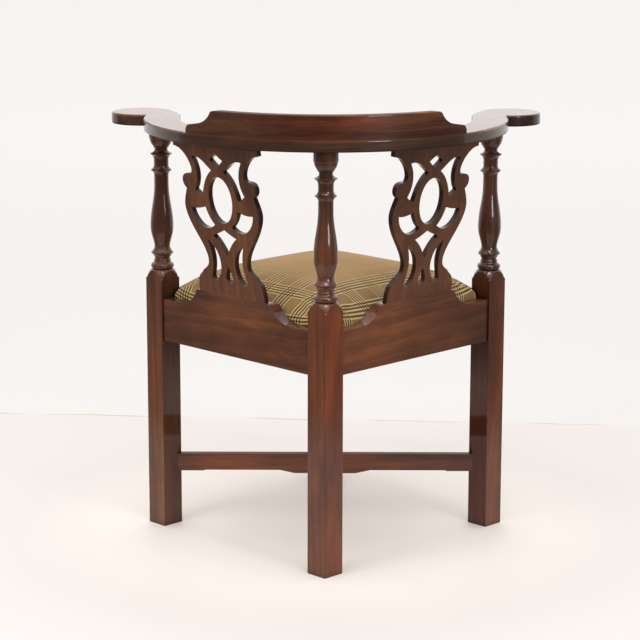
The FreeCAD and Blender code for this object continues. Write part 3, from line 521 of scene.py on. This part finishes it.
def webbing(name, along_y):
    """Jute webbing: herringbone with two dark lines near its edges."""
    material, tree, shader = new_material(name)
    vector, x, y = square_place(tree)
    across, along = (x, y) if along_y else (y, x)
    turn = calc(tree, "FRACT", calc(tree, "ADD", calc(tree, "DIVIDE", across, WEB_PITCH), 0.5))
    from_middle = calc(tree, "MULTIPLY", calc(tree, "SUBTRACT", turn, 0.5), WEB_PITCH)
    from_middle = calc(tree, "ABSOLUTE", from_middle)
    zigzag = calc(tree, "PINGPONG", from_middle, HERRINGBONE)
    twill = swing(tree, calc(tree, "ADD", along, zigzag), TWILL)
    line = calc(tree, "SUBTRACT", blend_value(tree, from_middle, *WEB_LINE_START),
                blend_value(tree, from_middle, *WEB_LINE_END))
    grain = noise(tree, vector, 700.0, 3, 0.6)
    colour = mix_colour(tree, blend_value(tree, twill, -0.6, 0.6),
                        (0.20, 0.125, 0.06, 1), (0.40, 0.28, 0.15, 1))
    colour = mix_colour(tree, calc(tree, "MULTIPLY", line, 0.85), colour, (0.055, 0.025, 0.018, 1))
    fill(tree, shader, {
        "Base Color": varied(tree, colour, grain, 0.3, 0.7, 0.7, 1.2),
        "Normal": relief(tree, calc(tree, "ADD", twill, grain), 0.7, 0.0004),
        "Roughness": blend_value(tree, grain, 0.3, 0.7, 0.8, 0.95), "Specular IOR Level": 0.2})
    return material


def hessian():
    """Open plain weave of uneven brown yarns."""
    material, tree, shader = new_material("hessian")
    vector, x, y = square_place(tree)
    wobble = calc(tree, "MULTIPLY", noise(tree, vector, 40.0, 3, 0.6), 0.0035)
    one = swing(tree, calc(tree, "ADD", x, wobble), HESSIAN_YARN)
    other = swing(tree, calc(tree, "SUBTRACT", y, wobble), HESSIAN_YARN)
    weave = calc(tree, "MULTIPLY", one, other)
    gap = calc(tree, "MULTIPLY", blend_value(tree, calc(tree, "ABSOLUTE", one), 0.0, 0.4, 1.0, 0.0),
               blend_value(tree, calc(tree, "ABSOLUTE", other), 0.0, 0.4, 1.0, 0.0))
    hair = noise(tree, vector, 500.0, 3, 0.7)
    colour = mix_colour(tree, blend_value(tree, weave, -0.6, 0.6),
                        (0.26, 0.175, 0.085, 1), (0.40, 0.285, 0.15, 1))
    colour = mix_colour(tree, gap, colour, (0.06, 0.035, 0.018, 1))
    height = calc(tree, "ADD", calc(tree, "ABSOLUTE", weave), hair)
    fill(tree, shader, {
        "Base Color": varied(tree, colour, hair, 0.3, 0.7, 0.72, 1.2),
        "Normal": relief(tree, height, 0.8, 0.0006),
        "Roughness": blend_value(tree, hair, 0.3, 0.7, 0.85, 0.97), "Specular IOR Level": 0.2})
    return material


def steel(name, colour, stain):
    """Old steel: dull, with scratches and brown stains."""
    material, tree, shader = new_material(name)
    place = chair_place(tree)
    patches = noise(tree, place, 260.0, 4, 0.65)
    scratches = noise(tree, stretched(tree, place, 300, 3000), detail=2)
    rust = calc(tree, "MULTIPLY", blend_value(tree, patches, 0.48, 0.66), 0.75)
    base = mix_colour(tree, rust, (*colour, 1), (*stain, 1))
    fill(tree, shader, {
        "Base Color": varied(tree, base, scratches, 0.3, 0.7, 0.75, 1.15),
        "Normal": relief(tree, scratches, 0.3, 0.0001, eased(tree, 0.0003)),
        "Roughness": blend_value(tree, patches, 0.35, 0.65, 0.32, 0.62), "Metallic": 0.85})
    return material


# Every node gets its finish. A mahogany piece has the way its grain runs, its own place in the
# wood, how calm the figure is, its tint with any painted shade, and where it is polished if that
# isn't everywhere.

BACK_LEFT = -45
BACK_RIGHT = 45
RAIL_TINT = even_tint(1.04, 1.10, 1.04)
STRETCHER_TINT = even_tint(1.0, 0.86, 0.70)
STRETCHER_POLISH = polish_between(0.0, 0.1365)
ARM_POLISH = polish_between(0.7595, 1.0)
CREST_POLISH = polish_between(0.0, 0.8196)
MAHOGANY_PIECES = {
    "back_post": (UPRIGHT, 1.0, 0.4, post_colour_and_face_shade((1.04, 0.98, 0.84), (1.42, 1.10, 0.80))),
    # On the side posts the face turned inwards, towards the other post, is darker: painted shade.
    "left_post": (UPRIGHT, 2.7, 0.4, post_colour_and_face_shade((1.06, 1.16, 1.14), (0.60, 0.60, 0.56))),
    "right_post": (UPRIGHT, 4.1, 0.4, post_colour_and_face_shade((0.76, 0.44, 0.26), (1.20, 1.08, 0.86))),
    "front_leg": (UPRIGHT, 5.9, 0.4),
    "back_left_seat_rail": (BACK_LEFT, 7.3, 0.4, RAIL_TINT),
    "back_right_seat_rail": (BACK_RIGHT, 9.2, 0.4, RAIL_TINT),
    "front_right_seat_rail": (BACK_LEFT, 10.8, 0.4, RAIL_TINT),
    "front_left_seat_rail": (BACK_RIGHT, 12.6, 0.4, RAIL_TINT),
    "side_stretcher": (0, 14.0, 0.2, STRETCHER_TINT, STRETCHER_POLISH),
    "front_to_back_stretcher": (90, 15.7, 0.2, STRETCHER_TINT, STRETCHER_POLISH),
    "left_splat": (UPRIGHT, 17.2, 0.65, splat_colour_and_edge_shade(math.radians(45))),
    "right_splat": (UPRIGHT, 19.1, 0.65, splat_colour_and_edge_shade(math.radians(135))),
    "left_arm": (ROUND, 20.6, 0.3, arm_tint, ARM_POLISH),
    "right_arm": (ROUND, 22.4, 0.3, arm_tint, ARM_POLISH),
    "crest_rail": (ROUND, 24.3, 0.1, crest_tint, CREST_POLISH)}
BLOCK_PIECES = {
    "back_corner_block": (0, 3.3),
    "left_corner_block": (90, 6.1),
    "right_corner_block": (90, 8.2),
    "front_corner_block": (0, 11.5)}
FRAME_PIECES = {
    "seat_frame_back_left": (BACK_LEFT, 1.9),
    "seat_frame_back_right": (BACK_RIGHT, 3.8),
    "seat_frame_front_left": (BACK_RIGHT, 5.1),
    "seat_frame_front_right": (BACK_LEFT, 7.7)}


def dress(name, material):
    piece = NODES[name]
    piece.data.materials.clear()
    piece.data.materials.append(material)


def dress_everything():
    for pieces, tones, polished in ((MAHOGANY_PIECES, MAHOGANY, True), (BLOCK_PIECES, PINE, False),
                                    (FRAME_PIECES, BEECH, False)):
        for name, (grain, offset, *more) in pieces.items():
            finish = wood("wood " + name.replace("_", " "), grain, tones, offset, polished, *more)
            dress(name, finish)
    dress("webbing_under", webbing("webbing under", True))
    dress("webbing_across", webbing("webbing across", False))
    dress("hessian", hessian())
    screws = steel("screw steel", (0.34, 0.31, 0.28), (0.10, 0.05, 0.03))
    tacks = steel("tack steel", (0.16, 0.15, 0.15), (0.08, 0.04, 0.025))
    dress("crest_screws", screws)
    dress("block_screws", screws)
    dress("webbing_tacks", tacks)
    dress("cover_tacks", tacks)


dress_everything()


# The seat cushion: cloth pulled over the pad and tacked under the frame. Its sizes are those of
# the solids in metres, along the seat square, whose U and V axes stand at 45 degrees.

COVER_HALF = 0.2085          # cover from its middle to its side
COVER_CORNER = 0.012         # radius of the corner between the front rails
COVER_BOTTOM = 0.4248
FRAME_TOP = 0.446
CROWN_TOP = 0.515
NOTCH = 0.1911               # where the cover is cut back round a post
HEM = 0.019
CLOTH_THICKNESS = 0.001
COVER_EDGE = 0.0045          # a point nearer to the outline than this belongs to the side
CREASE = 0.0016              # and one as near as this to the crease below, to the crease
PAD_FOOT = FRAME_TOP + 0.004
HELD_BELOW = FRAME_TOP + 0.006
PAD_PRESSED = 0.93           # share of the pad's height before it swells
VOXEL = 0.005
SWELL_PRESSURE = 4.0
SWELL_STIFFNESS = 15
SWELL_FRAMES = 20
SWELL_LIMIT = 0.022
CORNER_BOW = 0.10            # the pattern bows out by this share near the corners
SIDE_BLEND = 0.012           # over this, the pattern of one side goes over to the next
ROOT = math.sqrt(0.5)


def to_square(point):
    return ((point.x + point.y) * ROOT, (point.y - point.x) * ROOT, point.z)


def from_square(u, v, z):
    return Vector(((u - v) * ROOT, (u + v) * ROOT, z))


def joined_copy(names):
    """One mesh object holding copies of CAD nodes."""
    work = bmesh.new()
    for name in names:
        work.from_mesh(NODES[name].data)
    mesh = bpy.data.meshes.new("seat_cushion")
    work.to_mesh(mesh)
    work.free()
    made = bpy.data.objects.new("seat_cushion", mesh)
    scene.collection.objects.link(made)
    return made


def applied(piece):
    """Replaces the mesh of a piece by what its modifiers make of it."""
    depsgraph = bpy.context.evaluated_depsgraph_get()
    mesh = bpy.data.meshes.new_from_object(piece.evaluated_get(depsgraph))
    piece.modifiers.clear()
    piece.data = mesh


def stretch_above(piece, base, share):
    """Scales what stands above a height."""
    for vertex in piece.data.vertices:
        if vertex.co.z > base:
            vertex.co.z = base + (vertex.co.z - base) * share


def swell(piece):
    """Blows the pad up a little under its cloth, with its lower edge held by the frame."""
    start = [vertex.co.copy() for vertex in piece.data.vertices]
    held = piece.vertex_groups.new(name="held")
    held.add([vertex.index for vertex in piece.data.vertices if vertex.co.z < HELD_BELOW], 1.0,
             "REPLACE")
    cloth = piece.modifiers.new("cloth", "CLOTH")
    cloth.settings.use_pressure = True
    cloth.settings.uniform_pressure_force = SWELL_PRESSURE
    cloth.settings.effector_weights.gravity = 0.0
    cloth.settings.vertex_group_mass = held.name
    cloth.settings.quality = 5
    cloth.settings.tension_stiffness = SWELL_STIFFNESS
    cloth.settings.compression_stiffness = SWELL_STIFFNESS
    cloth.point_cache.frame_start = 1
    cloth.point_cache.frame_end = SWELL_FRAMES
    for number in range(1, SWELL_FRAMES + 1):
        scene.frame_set(number)
    applied(piece)
    scene.frame_set(1)
    for vertex, before in zip(piece.data.vertices, start):
        moved = vertex.co - before
        if moved.length > SWELL_LIMIT:
            vertex.co = before + moved.normalized() * SWELL_LIMIT


def at_front(u, v):
    """In the quarter of the seat whose corner lies between the front rails, and isn't cut."""
    return u < 0 and v < 0


def inward(u, v):
    """How far a point of the plan lies inside the outline of the cover, round its cut corners."""
    wide, narrow = max(abs(u), abs(v)), min(abs(u), abs(v))
    if narrow > NOTCH - HEM and not at_front(u, v):
        return min(COVER_HALF - wide, NOTCH - narrow)
    return COVER_HALF - wide


def keep_skin(piece):
    """Keeps the cloth alone: the crown, the sides, and the hem turned in below."""
    work = bmesh.new()
    work.from_mesh(piece.data)
    gone = []
    for polygon in work.faces:
        u, v, z = to_square(polygon.calc_center_median())
        deep = inward(u, v)
        crown = z > FRAME_TOP + 0.0065 and polygon.normal.z > -0.2
        hem = z < COVER_BOTTOM + 0.003 and deep < HEM
        if not (crown or hem or deep < COVER_EDGE):
            gone.append(polygon)
    bmesh.ops.delete(work, geom=gone, context="FACES")
    work.to_mesh(piece.data)
    work.free()


def with_narrow(u, v, size):
    """A point of the plan, with the smaller of its two distances from the middle changed."""
    if abs(u) < abs(v):
        return math.copysign(size, u), v
    return u, math.copysign(size, v)


def pushed_out(u, v):
    """The point of the outline of the cover beside this one."""
    wide, narrow = max(abs(u), abs(v)), min(abs(u), abs(v))
    centre = COVER_HALF - COVER_CORNER
    if at_front(u, v) and narrow > centre:
        grow = COVER_CORNER / math.hypot(u + centre, v + centre)
        return (u + centre) * grow - centre, (v + centre) * grow - centre
    by_notch = narrow > NOTCH - COVER_EDGE and NOTCH - narrow < COVER_HALF - wide
    if by_notch and not at_front(u, v):
        return with_narrow(u, v, NOTCH)
    if abs(u) < abs(v):
        return u, math.copysign(COVER_HALF, v)
    return math.copysign(COVER_HALF, u), v


def lay_flat(piece):
    """Lays the sides of the cloth against the frame, and its hem against the underside."""
    work = bmesh.new()
    work.from_mesh(piece.data)
    for vertex in work.verts:
        u, v, z = to_square(vertex.co)
        if z > FRAME_TOP:
            continue
        deep = inward(u, v)
        low = z < COVER_BOTTOM + CREASE
        if deep < CREASE or (deep < COVER_EDGE and not low):
            u, v = pushed_out(u, v)
        if low or deep > COVER_EDGE:
            z = COVER_BOTTOM
        vertex.co = from_square(u, v, z)
    bmesh.ops.remove_doubles(work, verts=work.verts, dist=0.0001)
    work.to_mesh(piece.data)
    work.free()


def keep_clear(piece):
    """Nothing of the cloth goes past the rails, the posts and the ledge."""
    side = COVER_HALF + 0.0002
    notch = NOTCH + 0.0006
    for vertex in piece.data.vertices:
        u, v, z = to_square(vertex.co)
        u = max(-side, min(side, u))
        v = max(-side, min(side, v))
        if min(abs(u), abs(v)) > notch and not at_front(u, v):
            u, v = with_narrow(u, v, notch)
        vertex.co = from_square(u, v, max(z, COVER_BOTTOM))


def fit_skin(piece):
    """One subdivision, sides and hem laid flat, and thickness inwards."""
    finer = piece.modifiers.new("finer", "SUBSURF")
    finer.levels = 1
    finer.render_levels = 1
    applied(piece)
    lay_flat(piece)
    thick = piece.modifiers.new("thick", "SOLIDIFY")
    thick.thickness = CLOTH_THICKNESS
    thick.offset = -1.0
    applied(piece)
    keep_clear(piece)


# Across the seat from its middle: distance and height of the crown, then the side and the hem

CROWN = ((0.0, CROWN_TOP), (0.0325, CROWN_TOP), (0.0825, 0.5102), (0.1205, 0.5026),
         (0.1545, 0.4929), (0.1795, 0.4819), (0.1950, 0.4715), (0.2025, 0.4612), (0.2071, 0.4529),
         (COVER_HALF, FRAME_TOP))
PROFILE = (*CROWN, (COVER_HALF, COVER_BOTTOM), (COVER_HALF - HEM, COVER_BOTTOM))


def over_crown(across):
    """Length of cloth from the middle of the seat to a distance across it."""
    length = 0.0
    for (a, za), (b, zb) in zip(CROWN, CROWN[1:]):
        part = min(1.0, max(0.0, (across - a) / (b - a)))
        length += part * math.hypot(b - a, zb - za)
    return length


def round_cloth(across, z):
    """Length of cloth from the middle of the seat to the nearest place on its profile."""
    nearest, found, length = 1.0, 0.0, 0.0
    for (a, za), (b, zb) in zip(PROFILE, PROFILE[1:]):
        span = math.hypot(b - a, zb - za)
        part = ((across - a) * (b - a) + (z - za) * (zb - za)) / span ** 2
        part = min(1.0, max(0.0, part))
        miss = math.hypot(a + part * (b - a) - across, za + part * (zb - za) - z)
        if miss < nearest:
            nearest, found = miss, length + part * span
        length += span
    return found


def cloth_place(one, other, z):
    """Where a point lies on the flat cloth, along one side of the seat square."""
    flat = over_crown(abs(one))
    behind = min(1.0, max(0.0, (abs(other) - abs(one)) / SIDE_BLEND))
    length = behind * flat + (1 - behind) * round_cloth(abs(one), z)
    bow = CORNER_BOW * min(1.0, abs(other) / COVER_HALF) ** 6
    return math.copysign(length + flat * bow, one)


def lay_cloth(piece):
    """Keeps each point's place on the flat cloth, in metres, as texture coordinates."""
    mesh = piece.data
    layer = mesh.uv_layers.new(name="cloth")
    spots = []
    for vertex in mesh.vertices:
        u, v, z = to_square(vertex.co)
        spots.append((cloth_place(u, v, z), cloth_place(v, u, z)))
    for loop in mesh.loops:
        layer.data[loop.index].uv = spots[loop.vertex_index]


def make_cushion():
    piece = joined_copy(["seat_cover", "stuffing", "hessian", *FRAME_PIECES])
    stretch_above(piece, PAD_FOOT, PAD_PRESSED)
    remesh = piece.modifiers.new("remesh", "REMESH")
    remesh.mode = "VOXEL"
    remesh.voxel_size = VOXEL
    applied(piece)
    swell(piece)
    top = max(vertex.co.z for vertex in piece.data.vertices)
    stretch_above(piece, HELD_BELOW, (CROWN_TOP - HELD_BELOW) / (top - HELD_BELOW))
    keep_skin(piece)
    fit_skin(piece)
    lay_cloth(piece)
    for polygon in piece.data.polygons:
        polygon.use_smooth = True
    piece.data.materials.clear()
    piece.data.materials.append(plaid())
    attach(piece, "lift_out_seat")
    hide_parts("seat_cover", "stuffing")


make_cushion()
